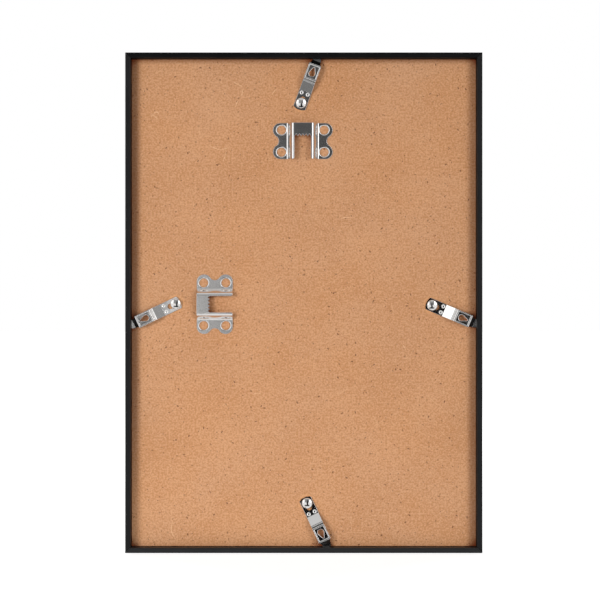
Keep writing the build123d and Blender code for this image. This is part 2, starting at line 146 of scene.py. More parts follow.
class Graph:
    """Adds nodes to a node tree and wires them."""

    def __init__(self, tree: bpy.types.NodeTree) -> None:
        """Keep the tree that the nodes go into."""
        self.tree = tree

    def feed(self, socket: bpy.types.NodeSocket, value: Feed) -> None:
        """Link a socket to another one, or set its own value.

        Args:
            socket: The input to fill.
            value: An output socket, or a plain value.
        """
        if isinstance(value, bpy.types.NodeSocket):
            self.tree.links.new(value, socket)
        else:
            socket.default_value = value

    def add(
        self, kind: str, inputs: dict[Any, Feed] | None = None, **settings: Any
    ) -> bpy.types.Node:
        """Add a node.

        Args:
            kind: Blender's type name for the node.
            inputs: Values or sockets by input name or number.
            **settings: The node's own properties.

        Returns:
            The node.
        """
        node = self.tree.nodes.new(kind)
        for name, value in settings.items():
            setattr(node, name, value)
        for name, value in (inputs or {}).items():
            self.feed(node.inputs[name], value)
        return node

    def maths(self, operation: str, first: Feed, second: Feed = 0.0) -> bpy.types.NodeSocket:
        """Work out one arithmetic step.

        Args:
            operation: Blender's name for it.
            first: The first value.
            second: The second value, where there is one.

        Returns:
            The result.
        """
        return self.add("ShaderNodeMath", {0: first, 1: second}, operation=operation).outputs[0]

    def times(self, *values: Feed) -> Feed:
        """Multiply values, from left to right."""
        return reduce(partial(self.maths, "MULTIPLY"), values)

    def plus(self, *values: Feed) -> Feed:
        """Add values, from left to right."""
        return reduce(partial(self.maths, "ADD"), values)

    def most(self, *values: Feed) -> Feed:
        """Find the largest of some values."""
        return reduce(partial(self.maths, "MAXIMUM"), values)

    def less(self, first: Feed, second: Feed) -> bpy.types.NodeSocket:
        """Subtract the second value from the first."""
        return self.maths("SUBTRACT", first, second)

    def vector(self, operation: str, first: Feed, second: Feed) -> bpy.types.NodeSocket:
        """Work out one step on vectors.

        Args:
            operation: Blender's name for it.
            first: The first vector.
            second: The second vector.

        Returns:
            The resulting vector.
        """
        node = self.add("ShaderNodeVectorMath", {0: first, 1: second}, operation=operation)
        return node.outputs["Vector"]

    def distance(self, first: Feed, second: Feed) -> bpy.types.NodeSocket:
        """Measure how far two places are apart."""
        node = self.add("ShaderNodeVectorMath", {0: first, 1: second}, operation="DISTANCE")
        return node.outputs["Value"]

    def split(self, at: Feed) -> bpy.types.NodeOutputs:
        """Split a place into its X, Y and Z."""
        return self.add("ShaderNodeSeparateXYZ", {0: at}).outputs

    def ramp(
        self, value: Feed, start: Feed, end: Feed, low: Feed = 0.0, high: Feed = 1.0
    ) -> bpy.types.NodeSocket:
        """Rise smoothly from low to high as a value goes from start to end.

        Args:
            value: The value to read.
            start: Where the rise starts.
            end: Where it ends.
            low: The result before the start.
            high: The result after the end.

        Returns:
            The result.
        """
        inputs = {"Value": value, "From Min": start, "From Max": end, "To Min": low, "To Max": high}
        node = self.add("ShaderNodeMapRange", inputs, interpolation_type="SMOOTHSTEP")
        return node.outputs["Result"]

    def blend(
        self, share: Feed, first: Feed, second: Feed, mode: str = "MIX"
    ) -> bpy.types.NodeSocket:
        """Mix two colours.

        Args:
            share: How much of the second colour there is.
            first: The first colour.
            second: The second colour.
            mode: Blender's name for the way of mixing.

        Returns:
            The mixed colour.
        """
        inputs = {0: share, 6: first, 7: second}
        return self.add("ShaderNodeMix", inputs, data_type="RGBA", blend_type=mode).outputs[2]

    def noise(self, at: Feed, noise: Noise) -> bpy.types.NodeSocket:
        """Read cloudy noise.

        Args:
            at: The place to read it.
            noise: Its scale, detail and roughness.

        Returns:
            A value around 0.5.
        """
        inputs = {"Vector": at, "Scale": noise.scale, "Detail": noise.detail}
        inputs["Roughness"] = noise.rough
        return self.add("ShaderNodeTexNoise", inputs).outputs[0]


@dataclass(frozen=True)
class Window:
    """A soft-edged stretch: where it opens, where it closes, and its strength between."""

    opens: Span
    closes: Span
    full: float = 1.0

    def mask(self, g: Graph, value: Feed) -> Feed:
        """Work out the strength at a value.

        Args:
            g: The graph to add to.
            value: The value to read.

        Returns:
            The strength.
        """
        return g.times(g.ramp(value, *self.opens), g.ramp(value, *self.closes, self.full, 0.0))


@dataclass
class Effects:
    """Surface effects that several finishes share, each a node group that is built once.

    The fields are the values inside the groups.
    """

    broken_scale: float = 9.0
    broken: Span = (0.45, 1.0)
    patch_detail: float = 3.0
    patch_start: float = 0.85
    patch_cover: float = 0.7
    patch_edge: float = 0.25
    drawn: Noise = Noise(1.0, 3.0, 0.6)
    rub: Noise = Noise(140.0, 4.0, 0.65)
    rub_span: Span = (0.42, 0.68)
    groups: dict[type, bpy.types.NodeTree] = field(default_factory=dict)

    def build(self) -> None:
        """Build the groups."""
        self.groups[Strands] = self._strands()
        self.groups[Smudges] = self._smudges()
        self.groups[Streaks] = self._streaks()
        self.groups[EdgeRub] = self._edge_rub()

    def place(self, g: Graph, at: Feed, effect: Effect) -> bpy.types.NodeSocket:
        """Place an effect in a material.

        Args:
            g: The material's graph.
            at: The place to read it.
            effect: Its values.

        Returns:
            The effect's mask or value.
        """
        inputs = {self._label(name): value for name, value in vars(effect).items()}
        inputs["Vector"] = at
        return g.add("ShaderNodeGroup", inputs, node_tree=self.groups[type(effect)]).outputs[0]

    @staticmethod
    def _label(name: str) -> str:
        """Write a field's name as a group's input."""
        return name.replace("_", " ").title()

    def _new(
        self, name: str, effect: type, output: str
    ) -> tuple[Graph, bpy.types.NodeOutputs, bpy.types.NodeSocket]:
        """Start a group.

        Args:
            name: The group's name.
            effect: The class whose fields are its inputs.
            output: The name of its one output.

        Returns:
            The graph, the group's inputs to read and its output to fill.
        """
        tree = bpy.data.node_groups.new(name, "ShaderNodeTree")
        tree.interface.new_socket("Vector", in_out="INPUT", socket_type="NodeSocketVector")
        for value in fields(effect):
            label = self._label(value.name)
            tree.interface.new_socket(label, in_out="INPUT", socket_type="NodeSocketFloat")
        tree.interface.new_socket(output, in_out="OUTPUT", socket_type="NodeSocketFloat")
        graph = Graph(tree)
        given = graph.add("NodeGroupInput").outputs
        return graph, given, graph.add("NodeGroupOutput").inputs[output]

    def _strands(self) -> bpy.types.NodeTree:
        """Build short curved lines.

        In a cell turned by its own angle, u runs along the line and v + b u^2 across it, where b
        is the cell's own bend, between twice the group's bend either way. The mask is full where
        both are small.

        Returns:
            The group.
        """
        g, given, mask = self._new("Strands", Strands, "Mask")
        place = g.add("ShaderNodeVectorMath", {0: given["Vector"]}, operation="SCALE")
        g.feed(place.inputs["Scale"], g.maths("DIVIDE", 1.0, given["Spacing"]))
        spread = {"Vector": place.outputs[0], "Scale": 1.0, "Randomness": 1.0}
        cell = g.add("ShaderNodeTexVoronoi", spread, voronoi_dimensions="2D").outputs
        turn, bow, luck = g.add("ShaderNodeSeparateColor", {0: cell["Color"]}).outputs
        offset = g.vector("SUBTRACT", place.outputs[0], cell["Position"])
        turned = {"Vector": offset, "Angle": g.times(turn, math.tau)}
        turned = g.add("ShaderNodeVectorRotate", turned, rotation_type="Z_AXIS").outputs[0]
        part = g.split(turned)
        along = g.maths("ABSOLUTE", part["X"])
        bend = g.times(g.less(bow, 0.5), given["Bend"], 4.0)
        bend = g.times(bend, g.times(along, along))
        across = g.maths("ABSOLUTE", g.plus(part["Y"], bend))
        ends = g.ramp(along, g.times(given["Length"], 0.5), given["Length"], 1.0, 0.0)
        sides = g.ramp(across, 0.0, given["Width"], 1.0, 0.0)
        present = g.maths("LESS_THAN", luck, given["Share"])
        g.feed(mask, g.times(ends, sides, present))
        return g.tree

    def _smudges(self) -> bpy.types.NodeTree:
        """Build soft patches: wide noise cut to its upper part, broken by finer noise.

        Returns:
            The group.
        """
        g, given, mask = self._new("Handling Smudge", Smudges, "Mask")
        wide = g.noise(given["Vector"], Noise(given["Scale"], self.patch_detail))
        fine = Noise(g.times(given["Scale"], self.broken_scale))
        fine = g.noise(given["Vector"], fine)
        start = g.less(self.patch_start, g.times(given["Cover"], self.patch_cover))
        patch = g.ramp(wide, start, g.plus(start, self.patch_edge))
        g.feed(mask, g.times(patch, g.ramp(fine, *MOST_NOISE, *self.broken)))
        return g.tree

    def _streaks(self) -> bpy.types.NodeTree:
        """Build fine parallel streaks: noise drawn out along a direction in the XZ plane.

        Returns:
            The group.
        """
        g, given, value = self._new("Rolled Streaks", Streaks, "Value")
        turned = {"Vector": given["Vector"], "Angle": given["Angle"]}
        turned = g.add("ShaderNodeVectorRotate", turned, rotation_type="Y_AXIS").outputs[0]
        scale = {0: given["Along"], 1: given["Across"], 2: given["Across"]}
        scale = g.add("ShaderNodeCombineXYZ", scale).outputs[0]
        g.feed(value, g.noise(g.vector("MULTIPLY", turned, scale), self.drawn))
        return g.tree

    def _edge_rub(self) -> bpy.types.NodeTree:
        """Build the rubbed band along a frame's outer edges.

        The mask is full where the outer side and the front or back face are both near, and noise
        breaks it up.

        Returns:
            The group.
        """
        g, given, mask = self._new("Edge Rub", EdgeRub, "Mask")
        part = g.split(given["Vector"])
        beside = g.less(given["Half Width"], g.maths("ABSOLUTE", part["X"]))
        above = g.less(given["Height"], part["Z"])
        side = g.maths("MINIMUM", beside, g.maths("MINIMUM", part["Z"], above))
        face = g.less(given["Half Depth"], g.maths("ABSOLUTE", part["Y"]))
        band = g.ramp(g.most(side, face), 0.0, given["Reach"], 1.0, 0.0)
        worn = g.ramp(g.noise(given["Vector"], self.rub), *self.rub_span)
        g.feed(mask, g.times(band, worn))
        return g.tree


class Run(Enum):
    """Direction that a rail runs in, as an angle about Y from +X."""

    LEVEL = 0.0
    UPRIGHT = math.pi / 2


def new_material(
    name: str,
) -> tuple[bpy.types.Material, Graph, bpy.types.NodeInputs, bpy.types.NodeSocket]:
    """Start a material with one Principled shader.

    Args:
        name: The material's name.

    Returns:
        The material, its graph, its shader's inputs and the object coordinates.
    """
    material = bpy.data.materials.new(name)
    material.use_nodes = True
    graph = Graph(material.node_tree)
    shader = material.node_tree.nodes["Principled BSDF"].inputs
    return material, graph, shader, graph.add("ShaderNodeTexCoord").outputs["Object"]


def bare_material(name: str) -> tuple[bpy.types.Material, Graph, bpy.types.NodeSocket]:
    """Start a material with no shader, for the studio.

    Args:
        name: The material's name.

    Returns:
        The material, its graph and the object coordinates.
    """
    material = bpy.data.materials.new(name)
    material.use_nodes = True
    material.node_tree.nodes.clear()
    graph = Graph(material.node_tree)
    return material, graph, graph.add("ShaderNodeTexCoord").outputs["Object"]


def board_plane(g: Graph, at: bpy.types.NodeSocket) -> bpy.types.NodeSocket:
    """Lay the frame's upright plane on XY, for patterns that lie on a sheet.

    Args:
        g: The graph to add to.
        at: Object coordinates.

    Returns:
        The coordinates as (X, Z, Y).
    """
    part = g.split(at)
    return g.add("ShaderNodeCombineXYZ", {0: part["X"], 1: part["Z"], 2: part["Y"]}).outputs[0]


def set_bump(
    g: Graph, shader: bpy.types.NodeInputs, height: Feed, strength: float, depth: float
) -> None:
    """Give a shader a bump.

    Args:
        g: The material's graph.
        shader: The inputs of the shader to bump.
        height: The relief, 0 to 1.
        strength: How much of it shows.
        depth: The relief's real depth.
    """
    inputs = {"Height": height, "Strength": strength, "Distance": depth}
    g.feed(shader["Normal"], g.add("ShaderNodeBump", inputs).outputs[0])


@dataclass(frozen=True)
class HardboardFinish:
    """Pressed wood fibre: soft mottling, fine grain, dark flecks and pale fibres.

    The board has painted shade beside the rails, which stands in for their shadow, and painted
    shade in crevices and under the clips and hangers. Round the clips' rivets it is paler: partly
    wear from the clips, partly painted light that offsets their shadow.
    """

    name: str = "hardboard_back"
    pale: Colour = shown(214, 162, 122)
    dark: Colour = shown(192, 136, 92)
    fleck: Colour = shown(92, 48, 26)
    red: Colour = shown(172, 104, 70)
    fibre: Colour = shown(232, 190, 150)
    ruddy: Colour = (1.012, 0.994, 0.96, 1.0)
    ashen: Colour = (0.988, 1.006, 1.04, 1.0)
    # Colour of the painted shade beside the rails.
    grime: Colour = shown(108, 60, 37)
    # Colour of the painted shade in crevices and under things.
    dirt: Colour = shown(120, 50, 16)
    # Paler colour round the rivets: partly wear, partly painted light.
    worn: Colour = shown(240, 178, 124)

    cloud: Noise = Noise(24.0, 3.0, 0.5)
    mottle: Noise = Noise(260.0, 3.0, 0.6)
    fine: Noise = Noise(880.0, 2.0, 0.6)
    grain: Noise = Noise(1900.0, 2.0, 0.7)
    drift: Noise = Noise(19.0, 4.0, 0.6)
    fading: Noise = Noise(75.0)
    cloud_share: float = 0.2
    mottle_share: float = 0.16
    fine_share: float = 0.72
    tone_span: Span = (0.41, 0.67)
    grain_span: Span = (0.25, 0.75)
    grain_tone: Span = (0.88, 1.12)
    fading_span: Span = (0.36, 0.62)
    fading_tone: Span = (0.35, 1.0)

    hairs: Strands = Strands(4.5 * MM, 0.3, 0.035, 0.35)
    fibres: Strands = Strands(17 * MM, 0.34, 0.011, 0.3)
    streaks: Strands = Strands(12 * MM, 0.22, 0.03, 0.3)
    specks: Strands = Strands(4.7 * MM, 0.12, 0.085, 0.5)
    flecks: Strands = Strands(9.8 * MM, 0.085, 0.06, 0.5)
    hair_tone: float = 0.3
    fibre_tone: float = 0.5
    streak_tone: float = 0.5
    speck_tone: float = 0.8
    fleck_tone: float = 0.95

    # Painted shade beside the rails and below the top rail: a darker band that stands in for the
    # rails' shadow.
    half_width: float = 105.63 * MM
    top: float = 302.13 * MM
    sides: Span = (-50 * MM, 50 * MM)
    side_reach: Span = (1.6 * MM, 6.6 * MM)
    side_shade: Span = (0.4, 0.55)
    foot_span: Span = (5 * MM, 110 * MM)
    head_span: Span = (215 * MM, 285 * MM)
    head_share: float = 0.76
    top_reach: Span = (0.4 * MM, 3.4 * MM)
    top_shade: float = 0.5

    # Painted shade from ambient occlusion in crevices, under the clips and hangers and by the
    # rails.
    crevice: float = 8 * MM
    crevice_samples: int = 8
    crevice_span: Span = (0.34, 0.54)
    dirt_tone: float = 0.95
    # The pale patch round each rivet: partly wear, partly painted light that offsets the clips'
    # shadow.
    rub_reach: Span = (4.6 * MM, 6.2 * MM)
    rub_tone: float = 0.4

    roughness: Span = (0.66, 0.84)
    gloss: float = 0.32
    fibre_lift: float = 0.5
    bump: float = 0.35
    bump_depth: float = 0.06 * MM

    def material(self, effects: Effects, rivets: list[Vector]) -> bpy.types.Material:
        """Build the material.

        Args:
            effects: The shared effects.
            rivets: The middle of each rivet.

        Returns:
            The material.
        """
        material, g, shader, at = new_material(self.name)
        laid = board_plane(g, at)
        grain = g.noise(laid, self.grain)
        hairs = effects.place(g, laid, self.hairs)
        fibres = effects.place(g, laid, self.fibres)
        colour = self._ground(g, laid, grain)
        colour = g.blend(g.times(hairs, self.hair_tone), colour, self.fibre)
        colour = g.blend(g.times(fibres, self.fibre_tone), colour, self.fibre)
        colour = self._flecked(g, effects, laid, colour)
        # Painted shade beside the rails.
        colour = g.blend(self._rim(g, at), colour, self.grime)
        # Painted shade in crevices, and the paler patch round the rivets.
        g.feed(shader["Base Color"], self._soiled(g, laid, rivets, colour))
        g.feed(shader["Roughness"], g.ramp(grain, *MOST_NOISE, *self.roughness))
        shader["Specular IOR Level"].default_value = self.gloss
        relief = g.plus(grain, g.times(g.plus(hairs, fibres), self.fibre_lift))
        set_bump(g, shader, relief, self.bump, self.bump_depth)
        return material

    def _ground(self, g: Graph, laid: Feed, grain: Feed) -> bpy.types.NodeSocket:
        """Mix the board's mottled tan, which drifts between ruddy and ashen.

        Args:
            g: The material's graph.
            laid: The place on the board.
            grain: The grain's noise.

        Returns:
            The colour.
        """
        tone = g.times(g.noise(laid, self.mottle), self.mottle_share)
        tone = g.plus(tone, g.times(g.noise(laid, self.cloud), self.cloud_share))
        tone = g.plus(tone, g.times(g.noise(laid, self.fine), self.fine_share))
        colour = g.blend(g.ramp(tone, *self.tone_span), self.pale, self.dark)
        drift = g.ramp(g.noise(laid, self.drift), *MOST_NOISE)
        colour = g.blend(1.0, colour, g.blend(drift, self.ruddy, self.ashen), "MULTIPLY")
        grain = g.ramp(grain, *self.grain_span, *self.grain_tone)
        return g.blend(1.0, colour, grain, "MULTIPLY")

    def _flecked(
        self, g: Graph, effects: Effects, laid: Feed, colour: Feed
    ) -> bpy.types.NodeSocket:
        """Add red streaks, specks and flecks, fainter in some places.

        Args:
            g: The material's graph.
            effects: The shared effects.
            laid: The place on the board.
            colour: The colour under them.

        Returns:
            The colour.
        """
        fade = g.ramp(g.noise(laid, self.fading), *self.fading_span, *self.fading_tone)
        for lines, tone, hue in (
            (self.streaks, self.streak_tone, self.red),
            (self.specks, self.speck_tone, self.fleck),
            (self.flecks, self.fleck_tone, self.fleck),
        ):
            share = g.times(effects.place(g, laid, lines), fade, tone)
            colour = g.blend(share, colour, hue)
        return colour

    def _rim(self, g: Graph, at: Feed) -> Feed:
        """Work out the painted shade on the board beside the rails and below the top rail. It
        stands in for the rails' shadow.

        The band beside the left rail is stronger, and fades out towards the foot. Both side bands
        are weaker towards the head.

        Args:
            g: The material's graph.
            at: Object coordinates.

        Returns:
            The share of painted shade.
        """
        part = g.split(at)
        beside = g.less(self.half_width, g.maths("ABSOLUTE", part["X"]))
        below = g.less(self.top, part["Z"])
        left = g.ramp(part["X"], *self.sides)
        rim = g.ramp(beside, *self.side_reach, g.ramp(left, *WHOLE, *self.side_shade), 0.0)
        foot = g.most(g.ramp(part["Z"], *self.foot_span), g.less(1.0, left))
        head = g.ramp(part["Z"], *self.head_span, 1.0, self.head_share)
        rim = g.times(rim, g.times(foot, head))
        return g.most(rim, g.ramp(below, *self.top_reach, self.top_shade, 0.0))

    def _soiled(
        self, g: Graph, laid: Feed, rivets: list[Vector], colour: Feed
    ) -> bpy.types.NodeSocket:
        """Add painted shade in crevices, under the clips and hangers and by the rails, and a pale
        patch round each rivet that is partly wear from the clips and partly painted light that
        offsets their shadow.

        Args:
            g: The material's graph.
            laid: The place on the board.
            rivets: The middle of each rivet.
            colour: The colour under them.

        Returns:
            The colour.
        """
        # Painted shade: ambient occlusion darkens the board where it is hemmed in, as shade would.
        reach = {"Distance": self.crevice}
        open_sky = g.add("ShaderNodeAmbientOcclusion", reach, samples=self.crevice_samples)
        crevice_shade_share = g.ramp(open_sky.outputs["AO"], *self.crevice_span, self.dirt_tone, 0.0)
        # A paler patch round each rivet: partly wear from the clips, partly painted light that
        # offsets the clips' shadow. It also keeps the painted crevice shade off there.
        rubbed = 0.0
        for middle in rivets:
            away = g.distance(laid, (middle.x, middle.z, 0.0))
            rubbed = g.most(rubbed, g.ramp(away, *self.rub_reach, 1.0, 0.0))
        colour = g.blend(g.times(rubbed, self.rub_tone), colour, self.worn)
        return g.blend(g.times(crevice_shade_share, g.less(1.0, rubbed)), colour, self.dirt)


@dataclass(frozen=True)
class FibreFinish:
    """Bleached wood fibre lying loose on the hardboard."""

    name: str = "loose_fibre"
    pale: Colour = shown(243, 208, 172)
    dark: Colour = shown(222, 176, 134)
    grain: Noise = Noise(700.0, 3.0, 0.6)
    hand: Smudges = Smudges(240.0, 0.6)
    hand_tone: float = 0.4
    roughness: Span = (0.55, 0.75)

    def material(self, effects: Effects) -> bpy.types.Material:
        """Build the material.

        Args:
            effects: The shared effects.

        Returns:
            The material.
        """
        material, g, shader, at = new_material(self.name)
        grain = g.noise(at, self.grain)
        hand = effects.place(g, at, self.hand)
        colour = g.blend(g.ramp(grain, *MID_NOISE), self.pale, self.dark)
        g.feed(shader["Base Color"], g.blend(g.times(hand, self.hand_tone), colour, self.dark))
        g.feed(shader["Roughness"], g.ramp(grain, *MOST_NOISE, *self.roughness))
        return material


@dataclass(frozen=True)
class RailFinish:
    """Satin black with faint lines along the rail and a rub along its outer edges."""

    name: str
    run: Run
    gloss: float = 0.25
    black: Colour = shown(13, 13, 14)
    grey: Colour = shown(20, 20, 21)
    rubbed: Colour = shown(44, 44, 46)
    rub: EdgeRub = EdgeRub(109 * MM, 7 * MM, 305.5 * MM, 0.7 * MM)
    rub_tone: float = 0.4
    rub_polish: float = 0.08
    pearl: Noise = Noise(2600.0, 2.0, 0.6)
    cloud: Noise = Noise(70.0, 3.0, 0.55)
    drawn_along: float = 9.0
    drawn_across: float = 1900.0
    tone_span: Span = (0.8, 1.2)
    hand: Smudges = Smudges(45.0, 0.5)
    hand_dull: float = 0.1
    roughness: Span = (0.42, 0.54)
    relief: float = 0.6
    bump: float = 0.22
    bump_depth: float = 0.03 * MM

    def material(self, effects: Effects) -> bpy.types.Material:
        """Build the material.

        Args:
            effects: The shared effects.

        Returns:
            The material.
        """
        material, g, shader, at = new_material(self.name)
        pearl = g.noise(at, self.pearl)
        lines = Streaks(self.drawn_along, self.drawn_across, self.run.value)
        drawn = effects.place(g, at, lines)
        worn = effects.place(g, at, self.rub)
        hand = effects.place(g, at, self.hand)
        tone = g.ramp(g.plus(g.noise(at, self.cloud), drawn), *self.tone_span)
        colour = g.blend(tone, self.black, self.grey)
        g.feed(shader["Base Color"], g.blend(g.times(worn, self.rub_tone), colour, self.rubbed))
        rough = g.ramp(pearl, *MOST_NOISE, *self.roughness)
        rough = g.plus(rough, g.times(hand, self.hand_dull))
        g.feed(shader["Roughness"], g.less(rough, g.times(worn, self.rub_polish)))
        shader["Specular IOR Level"].default_value = self.gloss
        relief = g.plus(g.times(pearl, self.relief), g.times(drawn, self.relief))
        set_bump(g, shader, relief, self.bump, self.bump_depth)
        return material


@dataclass(frozen=True)
class NickelFinish:
    """Bright nickel on rolled sheet: fine streaks, hairline scratches and dulled patches."""

    name: str
    angle: float = 0.0
    polish: float = 0.06
    streaked: float = 0.04
    bright: Colour = (0.78, 0.765, 0.75, 1.0)
    dull: Colour = (0.62, 0.6, 0.58, 1.0)
    rolled_along: float = 120.0
    rolled_across: float = 5200.0
    hand: Smudges = Smudges(150.0, 0.5)
    scratches: Strands = Strands(3.1 * MM, 0.42, 0.007, 0.6)
    hand_tone: float = 0.4
    hand_dull: float = 0.04
    scratch_dull: float = 0.06
    relief: float = 0.5
    bump: float = 0.04
    bump_depth: float = 0.002 * MM

    def material(self, effects: Effects) -> bpy.types.Material:
        """Build the material.

        Args:
            effects: The shared effects.

        Returns:
            The material.
        """
        material, g, shader, at = new_material(self.name)
        lines = Streaks(self.rolled_along, self.rolled_across, self.angle)
        rolled = effects.place(g, at, lines)
        hand = effects.place(g, at, self.hand)
        scratches = effects.place(g, board_plane(g, at), self.scratches)
        g.feed(shader["Base Color"], g.blend(g.times(hand, self.hand_tone), self.bright, self.dull))
        rough = g.ramp(rolled, *MOST_NOISE, self.polish, self.polish + self.streaked)
        rough = g.plus(rough, g.times(hand, self.hand_dull))
        g.feed(shader["Roughness"], g.plus(rough, g.times(scratches, self.scratch_dull)))
        shader["Metallic"].default_value = 1.0
        relief = g.less(g.times(rolled, self.relief), g.times(scratches, self.relief))
        set_bump(g, shader, relief, self.bump, self.bump_depth)
        return material


@dataclass(frozen=True)
class ZincFinish:
    """Dull zinc on the hidden corner keys."""

    name: str = "zinc_key"
    pale: Colour = (0.58, 0.58, 0.6, 1.0)
    dark: Colour = (0.4, 0.4, 0.42, 1.0)
    flake: Noise = Noise(320.0, 3.0, 0.6)
    hand: Smudges = Smudges(120.0, 0.6)
    roughness: Span = (0.32, 0.5)
    bump: float = 0.1
    bump_depth: float = 0.02 * MM

    def material(self, effects: Effects) -> bpy.types.Material:
        """Build the material.

        Args:
            effects: The shared effects.

        Returns:
            The material.
        """
        material, g, shader, at = new_material(self.name)
        flake = g.noise(at, self.flake)
        hand = effects.place(g, at, self.hand)
        g.feed(shader["Base Color"], g.blend(g.ramp(flake, *MID_NOISE), self.pale, self.dark))
        g.feed(shader["Roughness"], g.ramp(hand, *WHOLE, *self.roughness))
        shader["Metallic"].default_value = 1.0
        set_bump(g, shader, flake, self.bump, self.bump_depth)
        return material


@dataclass(frozen=True)
class GlassFinish:
    """Clear float glass with a faint green cast, smudged here and there."""

    name: str = "float_glass"
    cast: Colour = (0.99, 0.996, 0.993, 1.0)
    bending: float = 1.5
    hand: Smudges = Smudges(26.0, 0.35)
    roughness: Span = (0.004, 0.05)

    def material(self, effects: Effects) -> bpy.types.Material:
        """Build the material. Light from the lamps passes straight through to the paper.

        Args:
            effects: The shared effects.

        Returns:
            The material.
        """
        material, g, shader, at = new_material(self.name)
        hand = effects.place(g, at, self.hand)
        g.feed(shader["Roughness"], g.ramp(hand, *WHOLE, *self.roughness))
        shader["Base Color"].default_value = self.cast
        shader["IOR"].default_value = self.bending
        shader["Transmission Weight"].default_value = 1.0
        nodes = material.node_tree.nodes
        glass = nodes["Principled BSDF"].outputs[0]
        clear = g.add("ShaderNodeBsdfTransparent", {"Color": self.cast}).outputs[0]
        passing = g.add("ShaderNodeLightPath").outputs["Is Shadow Ray"]
        mixed = g.add("ShaderNodeMixShader", {0: passing, 1: glass, 2: clear})
        g.feed(nodes["Material Output"].inputs["Surface"], mixed.outputs[0])
        return material


@dataclass(frozen=True)
class PaperFinish:
    """Plain white insert with the fibres and tooth of uncoated paper."""

    name: str = "insert_paper_white"
    pale: Colour = shown(242, 241, 237)
    warm: Colour = shown(236, 234, 228)
    tooth: Noise = Noise(2200.0, 3.0, 0.65)
    cloud: Noise = Noise(55.0, 3.0, 0.5)
    cloud_span: Span = (0.1, 0.9)
    fibres: Strands = Strands(3 * MM, 0.4, 0.03, 0.6)
    fibre_tone: float = 0.6
    fibre_lift: float = 0.4
    roughness: Span = (0.78, 0.92)
    bump: float = 0.2
    bump_depth: float = 0.02 * MM

    def material(self, effects: Effects) -> bpy.types.Material:
        """Build the material.

        Args:
            effects: The shared effects.

        Returns:
            The material.
        """
        material, g, shader, at = new_material(self.name)
        laid = board_plane(g, at)
        tooth = g.noise(laid, self.tooth)
        fibres = effects.place(g, laid, self.fibres)
        colour = g.ramp(g.noise(laid, self.cloud), *self.cloud_span)
        colour = g.blend(colour, self.pale, self.warm)
        g.feed(shader["Base Color"], g.blend(g.times(fibres, self.fibre_tone), colour, self.warm))
        g.feed(shader["Roughness"], g.ramp(tooth, *MOST_NOISE, *self.roughness))
        relief = g.plus(tooth, g.times(fibres, self.fibre_lift))
        set_bump(g, shader, relief, self.bump, self.bump_depth)
        return material


def dress(node: bpy.types.Object, material: bpy.types.Material) -> None:
    """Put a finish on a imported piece.

    Args:
        node: The piece.
        material: Its finish.
    """
    for slot in node.material_slots:
        slot.material = material
    LOG.info("dressed %s in %s", node.name, material.name)


def new_piece(
    name: str, corners: np.ndarray, faces: list[list[int]], material: bpy.types.Material
) -> bpy.types.Object:
    """Make a smooth mesh object at the origin.

    Args:
        name: The object's name.
        corners: Its vertices, one row each.
        faces: Its faces, as vertex numbers.
        material: Its finish.

    Returns:
        The object.
    """
    mesh = bpy.data.meshes.new(name)
    mesh.from_pydata(corners.tolist(), [], faces)
    mesh.polygons.foreach_set("use_smooth", np.ones(len(faces), bool))
    mesh.materials.append(material)
    mesh.update()
    piece = bpy.data.objects.new(name, mesh)
    bpy.context.scene.collection.objects.link(piece)
    return piece


@dataclass
class Rails:
    """The four mitred rails and the keys in their corners."""

    upright: RailFinish = RailFinish("rail_black_upright", Run.UPRIGHT)
    # The top and bottom rails are one black with a lower and a higher gloss: painted shade on the
    # top rail and painted light on the bottom one.
    head: RailFinish = RailFinish("rail_black_top", Run.LEVEL, gloss=0.06)
    foot: RailFinish = RailFinish("rail_black_bottom", Run.LEVEL, gloss=0.4)
    keys: ZincFinish = ZincFinish()

    def dress(self, nodes: dict[str, bpy.types.Object], effects: Effects) -> None:
        """Give each rail and key its finish.

        Args:
            nodes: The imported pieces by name.
            effects: The shared effects.
        """
        upright = self.upright.material(effects)
        dress(nodes["left_rail"], upright)
        dress(nodes["right_rail"], upright)
        dress(nodes["top_rail"], self.head.material(effects))
        dress(nodes["bottom_rail"], self.foot.material(effects))
        zinc = self.keys.material(effects)
        for name in sorted(nodes):
            if name.startswith("corner_key"):
                dress(nodes[name], zinc)


@dataclass
class Glazing:
    """The glass and the sheet behind it."""

    glass: GlassFinish = GlassFinish()
    paper: PaperFinish = PaperFinish()

    def dress(self, nodes: dict[str, bpy.types.Object], effects: Effects) -> None:
        """Give the glass and the sheet their finishes.

        Args:
            nodes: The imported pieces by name.
            effects: The shared effects.
        """
        dress(nodes["glass_pane"], self.glass.material(effects))
        dress(nodes["insert_sheet"], self.paper.material(effects))


